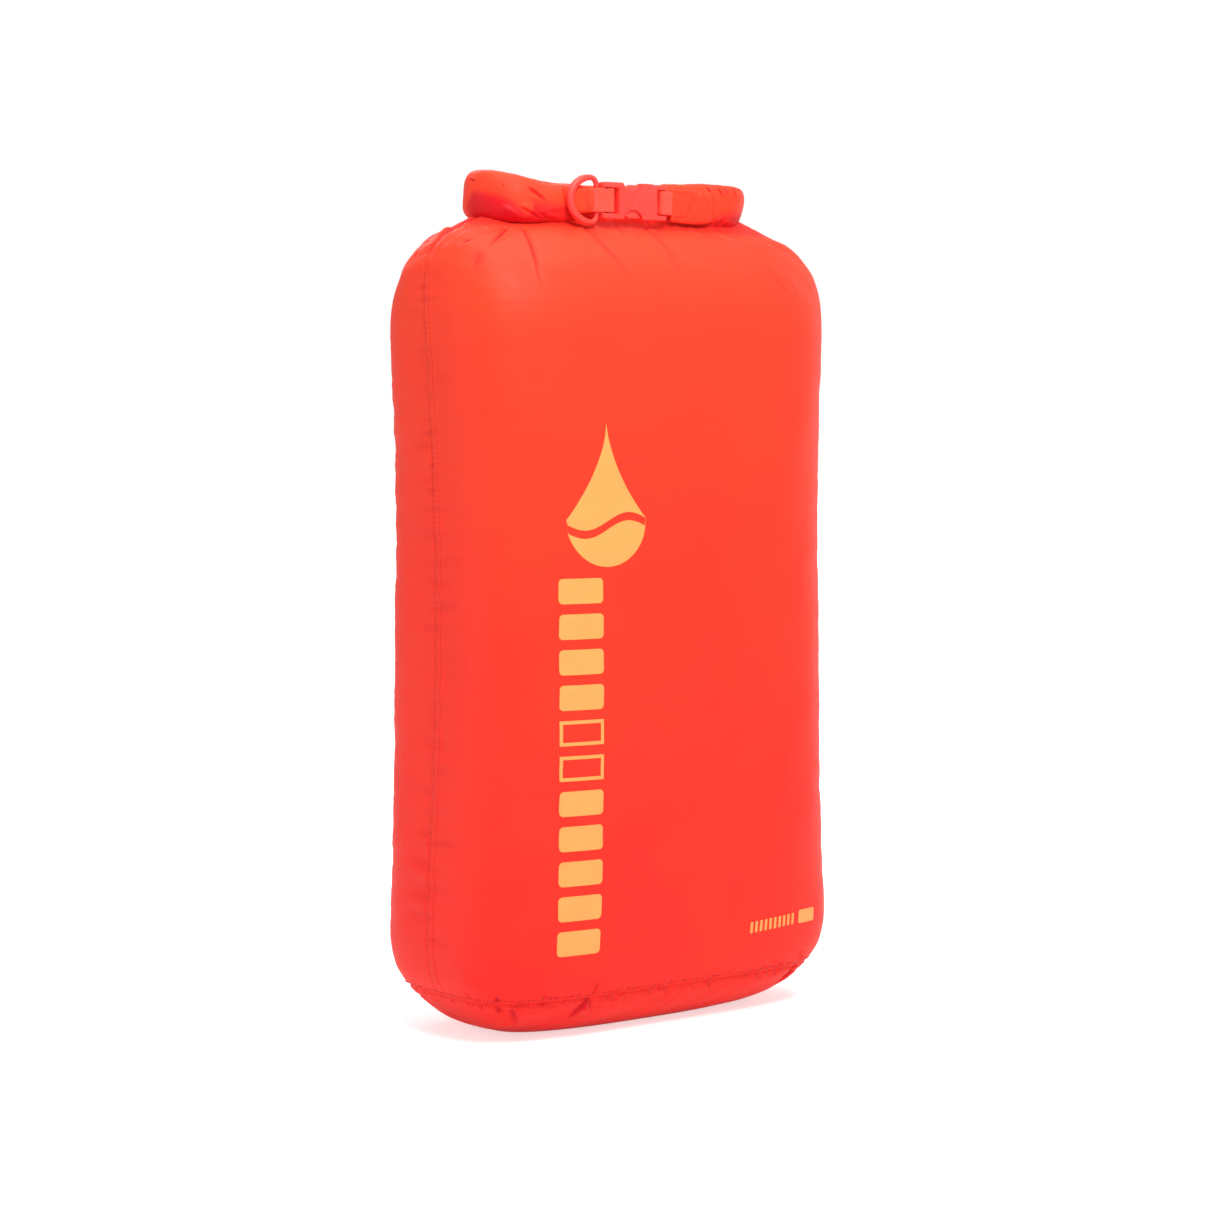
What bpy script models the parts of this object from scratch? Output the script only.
"""A 20 litre roll-top dry bag, packed and closed, standing on its base.

The mouth is rolled down, and the roll is bent round into a flat ring whose two ends are joined
in front by a side-release buckle. The bag's wide front looks along -Y, its narrow sides along X,
and it stands on Z = 0. All sizes are in metres.
"""
import math

import bpy
from mathutils import Matrix, Vector

# ---------------------------------------------------------------- driving dimensions
GAP = 0.0003                    # between pieces that touch
CLOTH = 0.0010                  # panel thickness
SEAM_Z = 0.027                  # height of the seam between the base and the panels
MOUTH_Z = 0.5195                # where the panels pass into the roll

# Body outline: height, half width, half depth, squareness of the section
BODY = (
    (0.000, 0.097, 0.036, 2.8),
    (0.004, 0.111, 0.047, 3.2),
    (0.012, 0.125, 0.058, 3.8),
    (SEAM_Z, 0.1345, 0.067, 4.4),
    (0.060, 0.148, 0.078, 4.2),
    (0.110, 0.147, 0.081, 4.0),
    (0.200, 0.1425, 0.082, 4.0),
    (0.300, 0.1415, 0.0815, 4.0),
    (0.400, 0.145, 0.080, 4.0),
    (0.445, 0.1485, 0.077, 4.0),
    (0.467, 0.150, 0.073, 3.8),
    (0.487, 0.150, 0.065, 3.4),
    (0.500, 0.146, 0.055, 3.0),
    (0.510, 0.138, 0.044, 2.8),
    (MOUTH_Z, 0.117, 0.030, 2.5),
)
PANEL_HEIGHTS = (SEAM_Z, 0.040, 0.060, 0.085, 0.120, 0.200, 0.300, 0.400, 0.445, 0.467, 0.487,
                 0.500, 0.510, MOUTH_Z)
BASE_HEIGHTS = (SEAM_Z, 0.019, 0.012, 0.007, 0.004, 0.0015, 0.000)

ROLL_Z = 0.5352                 # middle height of the roll
ROLL_HALF_Y = 0.0095            # half the roll's thickness
ROLL_HALF_Z = 0.0142            # half the roll's height
ROLL_WALL = 0.0062              # the wound cloth, round the flat core
ROLL_SQUARENESS = 2.8
RING_X = 0.079                  # centre of each end bend
RING_R = 0.0205                 # radius of the bends, and half the distance between the runs
RUN_X = 0.077                   # where the straight runs meet the bend pieces
LEFT_TIP_X = -0.031             # ends of the roll, joined by the buckle
RIGHT_TIP_X = 0.0245

WEB = 0.0010                    # webbing thickness
TAB_BACK_Y = -0.0308            # middle of each tab's layer against the roll
TAB_FRONT_Y = -0.0320           # and of the layer over it
STITCH_Y = -0.03305             # the thread on the face of a tab
STITCH_HALF_Z = 0.0058
LEFT_SEWN_X = (-0.0545, -0.0475)        # where each tab is sewn down: far end, near end
RIGHT_SEWN_X = (0.050, 0.029)
THREAD_R = 0.00025
BUCKLE_Y = -0.0360              # middle plane of the buckle
BUCKLE_Z = 0.534
D_BAR = (-0.0385, -0.0345)      # axis of the hanging ring's straight bar
D_WIRE = 0.00175                # radius of its wire
D_HALF = 0.01425                # half the height of its centre line
D_REACH = 0.0210                # from the bar to the far side of its centre line

HOUSING_X = (-0.0360, 0.0055)
HOUSING_HALF_Y = 0.0035
HOUSING_HALF_Z = 0.0118
CAVITY_HALF_Y = 0.0021
CAVITY_HALF_Z = 0.0096
STRAP_HALF_Z = 0.0084           # half the height of the strap slots
HOUSING_BAR_X = (-0.0310, -0.0280)
HOUSING_SLOT_END = -0.0235
WINDOW = (-0.0120, 0.0135, 0.0082)      # side window: x, distance from the middle, radius

MALE_X = (0.0058, 0.0165)
MALE_HALF_Y = 0.0024
MALE_HALF_Z = 0.0115
MALE_SLOT_X = (0.0085, 0.0130)
BAR_HALF_Y = 0.0015             # both strap bars are thinner than their frames
PRONG_ROOT = (0.0041, 0.0065)   # hinge of each prong: x, distance from the middle
PRONG_HALF_Y = 0.0017
RIB_X = -0.0090                 # end of the guide rib between the prongs
RIB_HALF = 0.0012

ROUND = 24                      # sides of a round cutter
SECTION_STEPS = 28              # points along half a body section
ROLL_STEPS = 20                 # points round the roll's section
BEND_STEPS = 10                 # steps along an end bend
WRAP_STEPS = 8                  # steps of the webbing round a bar

# ---------------------------------------------------------------- colours
SCARLET = (0.93, 0.045, 0.022, 1.0)
SCARLET_DEEP = (0.86, 0.028, 0.022, 1.0)
CORAL = (0.93, 0.075, 0.045, 1.0)
TAPE_GREY = (0.62, 0.62, 0.60, 1.0)


# ---------------------------------------------------------------- helpers
def clear_scene():
    for obj in list(bpy.data.objects):
        bpy.data.objects.remove(obj, do_unlink=True)


def collection(name):
    found = bpy.data.collections.new(name)
    bpy.context.scene.collection.children.link(found)
    return found


def material(name, colour, roughness, metallic=0.0):
    made = bpy.data.materials.new(name)
    made.use_nodes = True
    shader = made.node_tree.nodes["Principled BSDF"]
    shader.inputs["Base Color"].default_value = colour
    shader.inputs["Roughness"].default_value = roughness
    shader.inputs["Metallic"].default_value = metallic
    made.diffuse_color = colour
    return made


def place(obj, where, made):
    """Keep obj in one collection only, with one material."""
    for old in list(obj.users_collection):
        old.objects.unlink(obj)
    where.objects.link(obj)
    obj.data.materials.clear()
    if made:
        obj.data.materials.append(made)
    return obj


def mesh_object(name, rings, closed=False, loop=False, start_cap=False, end_cap=False):
    """A skin through rings of points, each ring with as many points as the others.

    closed joins each ring's ends, and loop joins the last ring to the first.
    """
    count = len(rings[0])
    points = [tuple(p) for ring in rings for p in ring]
    faces = []
    spans = count if closed else count - 1
    for row in range(len(rings) if loop else len(rings) - 1):
        low = row * count
        high = (row + 1) % len(rings) * count
        for i in range(spans):
            j = (i + 1) % count
            faces.append((low + i, low + j, high + j, high + i))
    if start_cap:
        faces.append(tuple(reversed(range(count))))
    if end_cap:
        last = (len(rings) - 1) * count
        faces.append(tuple(last + i for i in range(count)))
    mesh = bpy.data.meshes.new(name)
    mesh.from_pydata(points, [], faces)
    mesh.validate()
    mesh.shade_smooth()
    return bpy.data.objects.new(name, mesh)


def thicken(obj, thickness):
    """Give an open skin its thickness, on the side away from its faces."""
    solid = obj.modifiers.new("Thickness", "SOLIDIFY")
    solid.thickness = thickness
    solid.offset = -1.0
    solid.use_even_offset = True
    solid.thickness_clamp = 0.0
    return obj


def box(name, low, high):
    """A box between two corners, its origin in its middle."""
    low, high = Vector(low), Vector(high)
    bpy.ops.mesh.primitive_cube_add(size=1.0)
    made = bpy.context.active_object
    made.name = name
    made.data.transform(Matrix.Diagonal((*(high - low), 1.0)))
    made.location = (low + high) / 2
    return made


def post(name, x, z, radius, half_y):
    """A cylinder along Y through the buckle."""
    bpy.ops.mesh.primitive_cylinder_add(vertices=ROUND, radius=radius, depth=2 * half_y)
    made = bpy.context.active_object
    made.name = name
    made.rotation_euler = (math.radians(90), 0, 0)
    made.location = (x, BUCKLE_Y, z)
    return made


def rounded(obj, width, segments=2):
    bevel = obj.modifiers.new("Edges", "BEVEL")
    bevel.width = width
    bevel.segments = segments
    bevel.limit_method = "ANGLE"
    return obj


def boolean(obj, other, operation):
    """Cut or join obj with other, which stays as a hidden guide."""
    place(other, CUTTERS, None)
    other.hide_render = True
    other.display_type = "WIRE"
    step = obj.modifiers.new(other.name, "BOOLEAN")
    step.operation = operation
    step.object = other
    step.solver = "EXACT"


# ---------------------------------------------------------------- the body's surface
def body_section(height):
    """Half width, half depth and squareness at a height, read between the listed ones."""
    for low, high in zip(BODY, BODY[1:]):
        if height <= high[0]:
            break
    t = (height - low[0]) / (high[0] - low[0])
    return [p + (q - p) * t for p, q in zip(low[1:], high[1:])]


def section_point(half_x, half_y, power, angle):
    """A point of a squared-off oval."""
    c, s = math.cos(angle), math.sin(angle)
    x = math.copysign(abs(c) ** (2 / power), c) * half_x
    y = math.copysign(abs(s) ** (2 / power), s) * half_y
    return x, y


def body_ring(height, inset, start, end, steps):
    half_x, half_y, power = body_section(height)
    ring = []
    for i in range(steps):
        angle = start + (end - start) * i / (steps - 1)
        x, y = section_point(half_x - inset, half_y - inset, power, angle)
        ring.append((x, y, height))
    return ring


def panel(name, side):
    """Half of the tube, in front (side -1) or behind (side 1), from the base seam to the mouth."""
    start = math.pi if side < 0 else 0.0
    rings = []
    for height in PANEL_HEIGHTS:
        ring = body_ring(height, 0.0, start, start + math.pi, SECTION_STEPS)
        lift = GAP / 2 if height == SEAM_Z else 0.0
        rings.append([(x, y + side * GAP / 2, z + lift) for x, y, z in ring])
    return thicken(mesh_object(name, rings), CLOTH)


def base_panel():
    """The shallow tray under the seam, flat where the bag stands."""
    rings = []
    for height in BASE_HEIGHTS:
        ring = body_ring(height, 0.0, 0.0, 2 * math.pi, 2 * SECTION_STEPS - 1)[:-1]
        drop = GAP / 2 if height == SEAM_Z else 0.0
        rings.append([(x, y, z - drop) for x, y, z in reversed(ring)])
    return thicken(mesh_object("base_panel", rings, closed=True, end_cap=True), CLOTH)


def base_seam_tape():
    """The waterproof tape inside the base seam."""
    width, inset, thickness = 0.012, 0.0022, 0.0005
    rings = []
    for step in (-0.5, 0.0, 0.5):
        ring = body_ring(SEAM_Z + step * width, inset, 0.0, 2 * math.pi, 2 * SECTION_STEPS - 1)
        rings.append(ring[:-1])
    return thicken(mesh_object("base_seam_tape", rings, closed=True), thickness)


def base_seam_thread():
    """The line of thread that shows outside, along the base seam."""
    radius, points = 0.0003, 72
    curve = bpy.data.curves.new("base_seam_thread", "CURVE")
    curve.dimensions = "3D"
    curve.bevel_depth = radius
    curve.bevel_resolution = 1
    spline = curve.splines.new("POLY")
    ring = body_ring(SEAM_Z, -(radius + 0.0005), 0.0, 2 * math.pi, points + 1)[:-1]
    spline.points.add(points - 1)
    for point, where in zip(spline.points, ring):
        point.co = (*where, 1.0)
    spline.use_cyclic_u = True
    return bpy.data.objects.new("base_seam_thread", curve)


def side_seam_tape(name, side):
    """The tape inside the join of the front and back panels, on one narrow side."""
    half_width, inset, thickness = 0.008, 0.0022, 0.0005
    rings = []
    for height in (0.036, 0.060, 0.120, 0.200, 0.300, 0.400, 0.445, 0.480):
        half_x, half_y, power = body_section(height)
        ring = []
        for step in range(5):
            y = side * half_width * (step / 2 - 1)
            reach = (1 - abs(y / (half_y - inset)) ** power) ** (1 / power)
            ring.append((side * (half_x - inset) * reach, y, height))
        rings.append(ring)
    return thicken(mesh_object(name, rings), thickness)


# ---------------------------------------------------------------- the roll
def oval(half_y, half_z, power, steps):
    """A section as (across, up) pairs, anticlockwise."""
    return [section_point(half_y, half_z, power, 2 * math.pi * i / steps) for i in range(steps)]


def bend_path(side):
    """The centre line round one end of the ring, from the front run to the back run."""
    lead = (side * RUN_X, side * (RUN_X + RING_X) / 2)
    path = [(x, -RING_R) for x in lead]
    for i in range(BEND_STEPS + 1):
        angle = math.pi * i / BEND_STEPS
        x = side * (RING_X + RING_R * math.sin(angle))
        path.append((x, -RING_R * math.cos(angle)))
    return path + [(x, RING_R) for x in reversed(lead)]


def swept_rings(path, sections, z):
    """An upright section carried along a path in plan. sections holds one section for each point."""
    rings = []
    for i, (x, y) in enumerate(path):
        ahead = path[min(i + 1, len(path) - 1)]
        behind = path[max(i - 1, 0)]
        run = Vector((ahead[0] - behind[0], ahead[1] - behind[1], 0)).normalized()
        across = Vector((-run.y, run.x, 0))
        rings.append([(x + across.x * a, y + across.y * a, z + b) for a, b in sections[i]])
    return rings


def sweep(name, path, sections, z):
    """A solid strip along a path in plan."""
    return mesh_object(name, swept_rings(path, sections, z), closed=True, start_cap=True, end_cap=True)


def roll_piece(name, path):
    """A length of the wound mouth, with the flat hollow of its core."""
    outer = oval(ROLL_HALF_Y, ROLL_HALF_Z, ROLL_SQUARENESS, ROLL_STEPS)
    inner = oval(ROLL_HALF_Y - ROLL_WALL, ROLL_HALF_Z - ROLL_WALL, ROLL_SQUARENESS, ROLL_STEPS)
    outside = swept_rings(path, [outer] * len(path), ROLL_Z)
    inside = swept_rings(path, [inner] * len(path), ROLL_Z)
    return mesh_object(name, [*outside, *reversed(inside)], closed=True, loop=True)


def trimmed(path, cut):
    """A path with its two ends drawn in along the roll, so that neighbours keep their gap."""
    first, last = path[0], path[-1]
    start = Vector(path[1]) - Vector(first)
    end = Vector(path[-2]) - Vector(last)
    first = Vector(first) + start.normalized() * cut
    last = Vector(last) + end.normalized() * cut
    return [tuple(first), *path[1:-1], tuple(last)]


def roll_straight(name, start_x, end_x, y):
    return roll_piece(name, trimmed([(start_x, y), (end_x, y)], GAP / 2))


def stiffener_strip():
    """The stiff band along the mouth's lip, which the mouth is wound round."""
    half_thickness, half_width = 0.0006, 0.006
    path = [(LEFT_TIP_X - 0.004, -RING_R), *bend_path(-1), *reversed(bend_path(1)),
            (RIGHT_TIP_X + 0.004, -RING_R)]
    section = [(half_thickness, -half_width), (half_thickness, half_width),
               (-half_thickness, half_width), (-half_thickness, -half_width)]
    return sweep("stiffener_strip", path, [section] * len(path), ROLL_Z)


def mouth_web():
    """The mouth's cloth drawn across inside the ring, and forward between the roll's ends."""
    clear = 0.0006
    rings = []
    for shrink, z, front_z in ((0.0, 0.5330, 0.5215), (0.0035, 0.5285, 0.5230), (0.0065, 0.5272, 0.5245)):
        reach = RING_R - ROLL_HALF_Y - clear - shrink
        ring = []
        for side in (1, -1):
            for i in range(BEND_STEPS + 1):
                angle = math.pi * i / BEND_STEPS
                x = side * (RING_X + reach * math.sin(angle))
                ring.append((x, -side * reach * math.cos(angle), z))
        left = LEFT_TIP_X + clear + shrink
        right = RIGHT_TIP_X - clear - shrink
        front = -(RING_R + ROLL_HALF_Y - clear) + shrink
        ring += [(left, -reach, z), (left, front, front_z), (right, front, front_z), (right, -reach, z)]
        rings.append(ring)
    web = mesh_object("mouth_web", list(reversed(rings)), closed=True, start_cap=True)
    return thicken(web, CLOTH)


# ---------------------------------------------------------------- webbing, ring and stitches
def wrap(x, side):
    """Half a turn of webbing round a strap bar at x, on the bar's far side from the tab."""
    radius, squareness = 0.0025, 3.2
    turn = []
    for i in range(WRAP_STEPS + 1):
        across, out = section_point(radius, radius, squareness, math.pi * i / WRAP_STEPS)
        turn.append((x + side * out, BUCKLE_Y + across))
    return turn


def webbing_tab(name, bar_x, side, sewn, crest, widths):
    """A doubled tab of webbing: sewn flat on the roll's end, looped round a strap bar.

    crest holds the points its front layer passes on the way from the bar back to the roll.
    """
    sewn_far, sewn_near = sewn
    path = [(sewn_far, TAB_BACK_Y), (sewn_near, TAB_BACK_Y), *wrap(bar_x, side),
            *crest, (sewn_near, TAB_FRONT_Y), (sewn_far, TAB_FRONT_Y)]
    wide, narrow = widths
    halves = [wide, wide, *[narrow] * (WRAP_STEPS + 1 + len(crest)), wide, wide]
    sections = [[(WEB / 2, -h), (WEB / 2, h), (-WEB / 2, h), (-WEB / 2, -h)] for h in halves]
    return sweep(name, path, sections, BUCKLE_Z)


def box_stitch(name, low_x, high_x):
    """A closed box of thread through a tab and the roll."""
    curve = bpy.data.curves.new(name, "CURVE")
    curve.dimensions = "3D"
    curve.bevel_depth = THREAD_R
    curve.bevel_resolution = 1
    spline = curve.splines.new("POLY")
    spline.points.add(3)
    corners = ((low_x, -STITCH_HALF_Z), (high_x, -STITCH_HALF_Z),
               (high_x, STITCH_HALF_Z), (low_x, STITCH_HALF_Z))
    for point, (x, z) in zip(spline.points, corners):
        point.co = (x, STITCH_Y, BUCKLE_Z + z, 1.0)
    spline.use_cyclic_u = True
    return bpy.data.objects.new(name, curve)


def d_ring():
    """The hanging ring: a straight bar held in the left tab, and a bow lying on the roll.

    Its origin is on the bar, which it turns about.
    """
    curve = bpy.data.curves.new("d_ring", "CURVE")
    curve.dimensions = "3D"
    curve.bevel_depth = D_WIRE
    curve.bevel_resolution = 2
    spline = curve.splines.new("POLY")
    corner, bow = 0.0030, 18
    points = [(0.0, -D_HALF + corner), (0.0, 0.0), (0.0, D_HALF - corner)]
    points.append((-corner * 0.3, D_HALF - corner * 0.3))
    for i in range(bow + 1):
        angle = math.pi * i / bow
        flare = D_REACH - corner
        points.append((-corner - flare * math.sin(angle), D_HALF * math.cos(angle)))
    points.append((-corner * 0.3, -D_HALF + corner * 0.3))
    spline.points.add(len(points) - 1)
    for point, (x, z) in zip(spline.points, points):
        point.co = (x, 0.0, z, 1.0)
    spline.use_cyclic_u = True
    ring = bpy.data.objects.new("d_ring", curve)
    ring.location = (*D_BAR, BUCKLE_Z)
    return ring


# ---------------------------------------------------------------- the buckle
def buckle_box(name, x, half_y, half_z):
    return box(name, (x[0], BUCKLE_Y - half_y, BUCKLE_Z - half_z),
               (x[1], BUCKLE_Y + half_y, BUCKLE_Z + half_z))


def thin_bar(obj, x, half_z):
    """Recess both faces of a frame over its strap bar."""
    for side in (-1, 1):
        near = BUCKLE_Y + side * BAR_HALF_Y
        far = BUCKLE_Y + side * 2 * HOUSING_HALF_Y
        cutter = box(f"{obj.name}_recess", (x[0], min(near, far), BUCKLE_Z - half_z),
                     (x[1], max(near, far), BUCKLE_Z + half_z))
        boolean(obj, cutter, "DIFFERENCE")


def buckle_housing():
    """The half that takes the prongs, with its strap bar on the left."""
    housing = rounded(buckle_box("buckle_housing", HOUSING_X, HOUSING_HALF_Y, HOUSING_HALF_Z), 0.0012)
    past = 0.001
    end_wall = 0.002
    hollow = (HOUSING_SLOT_END + end_wall, HOUSING_X[1] + past)
    cavity = buckle_box("cavity", hollow, CAVITY_HALF_Y, CAVITY_HALF_Z)
    boolean(housing, cavity, "DIFFERENCE")
    through = 2 * HOUSING_HALF_Y
    slot = buckle_box("strap_slot", (HOUSING_BAR_X[1], HOUSING_SLOT_END), through, STRAP_HALF_Z)
    boolean(housing, slot, "DIFFERENCE")
    mouth = buckle_box("strap_end", (HOUSING_X[0] - past, HOUSING_BAR_X[0]), through, STRAP_HALF_Z)
    boolean(housing, mouth, "DIFFERENCE")
    thin_bar(housing, (HOUSING_BAR_X[0] - past, HOUSING_BAR_X[1] + past), STRAP_HALF_Z)
    x, distance, radius = WINDOW
    for side in (-1, 1):
        window = post("side_window", x, BUCKLE_Z + side * distance, radius, through)
        boolean(housing, window, "DIFFERENCE")
    return housing


def buckle_male():
    """The half that carries the prongs: a strap frame and a guide rib."""
    male = rounded(buckle_box("buckle_male", MALE_X, MALE_HALF_Y, MALE_HALF_Z), 0.0009)
    through = 2 * HOUSING_HALF_Y
    slot = buckle_box("male_slot", MALE_SLOT_X, through, STRAP_HALF_Z)
    boolean(male, slot, "DIFFERENCE")
    thin_bar(male, (MALE_SLOT_X[1] - 0.001, MALE_X[1] + 0.001), STRAP_HALF_Z)
    rib = buckle_box("guide_rib", (RIB_X, MALE_X[0] + 0.001), PRONG_HALF_Y, RIB_HALF)
    boolean(male, rib, "UNION")
    return male


def prong(name, side):
    """A springy arm with the pad that is pressed. Its origin is at its root, which it bends about."""
    root_x, root_z = PRONG_ROOT
    root_r, arm_half = 0.0014, 0.0011
    outline = []
    for i in range(9):
        angle = math.radians(-90 + 180 * i / 8)
        outline.append((root_r * math.cos(angle), root_r * math.sin(angle)))
    shoulder_x, tip_x, pad_z = -0.0090, -0.0219, 0.0041
    outline += [(-0.0030, arm_half), (shoulder_x, arm_half), (shoulder_x, 0.0033),
                (shoulder_x - 0.0008, pad_z), (-0.0185, pad_z), (-0.0212, 0.0026), (tip_x, 0.0008),
                (-0.0212, -0.0010), (-0.0190, -0.0018), (-0.0100, -0.0018), (-0.0060, -arm_half)]
    curve = bpy.data.curves.new(name, "CURVE")
    curve.dimensions = "2D"
    curve.fill_mode = "BOTH"
    curve.extrude = PRONG_HALF_Y
    spline = curve.splines.new("POLY")
    spline.points.add(len(outline) - 1)
    for point, (x, z) in zip(spline.points, outline):
        point.co = (x, side * z, 0.0, 1.0)
    spline.use_cyclic_u = True
    arm = bpy.data.objects.new(name, curve)
    arm.location = (root_x, BUCKLE_Y, BUCKLE_Z + side * root_z)
    arm.rotation_euler = (math.radians(90), 0, 0)
    return arm


# ---------------------------------------------------------------- the assembly
def build():
    nylon = material("coated_nylon", SCARLET, 0.45)
    roll_cloth = material("rolled_nylon", SCARLET_DEEP, 0.45)
    tape = material("seam_tape", TAPE_GREY, 0.5)
    thread = material("thread", SCARLET_DEEP, 0.7)
    strip = material("lip_strip", SCARLET_DEEP, 0.6)
    webbing = material("webbing", CORAL, 0.7)
    acetal = material("acetal", CORAL, 0.35)

    body = (panel("front_panel", -1), panel("back_panel", 1), base_panel())
    for piece in body:
        place(piece, PARTS, nylon)
    for piece in (base_seam_tape(), side_seam_tape("side_seam_tape_left", -1),
                  side_seam_tape("side_seam_tape_right", 1)):
        place(piece, PARTS, tape)
    place(base_seam_thread(), PARTS, thread)

    rolls = (
        roll_straight("roll_left_end", LEFT_TIP_X, -RUN_X, -RING_R),
        roll_piece("roll_left_bend", trimmed(bend_path(-1), GAP / 2)),
        roll_straight("roll_back", -RUN_X, RUN_X, RING_R),
        roll_piece("roll_right_bend", list(reversed(trimmed(bend_path(1), GAP / 2)))),
        roll_straight("roll_right_end", RUN_X, RIGHT_TIP_X, -RING_R),
    )
    for piece in rolls:
        place(piece, PARTS, roll_cloth)
    place(mouth_web(), PARTS, nylon)
    place(stiffener_strip(), PARTS, strip)

    housing_bar = sum(HOUSING_BAR_X) / 2
    male_bar = (MALE_SLOT_X[1] + MALE_X[1]) / 2
    over_ring = ((-0.0370, -0.03745), (-0.0410, -0.0367))
    over_bar = ((0.0175, -0.0383),)
    left_halves, right_halves = (0.0088, 0.0075), (0.0085, 0.0075)
    tabs = (webbing_tab("webbing_tab_left", housing_bar, 1, LEFT_SEWN_X, over_ring, left_halves),
            webbing_tab("webbing_tab_right", male_bar, -1, RIGHT_SEWN_X, over_bar, right_halves))
    for piece in tabs:
        place(piece, PARTS, webbing)
    margin, fold_clear = 0.001, 0.004
    boxes = (box_stitch("box_stitch_left", LEFT_SEWN_X[0] + margin, LEFT_SEWN_X[1] - margin),
             box_stitch("box_stitch_right", RIGHT_SEWN_X[1] + fold_clear, RIGHT_SEWN_X[0] - 0.0015))
    for piece in boxes:
        place(piece, PARTS, thread)

    place(d_ring(), PARTS, acetal)
    place(buckle_housing(), PARTS, acetal)
    place(buckle_male(), PARTS, acetal)
    place(prong("prong_upper", 1), PARTS, acetal)
    place(prong("prong_lower", -1), PARTS, acetal)


clear_scene()
PARTS = collection("dry_bag")
CUTTERS = collection("cutters")
build()
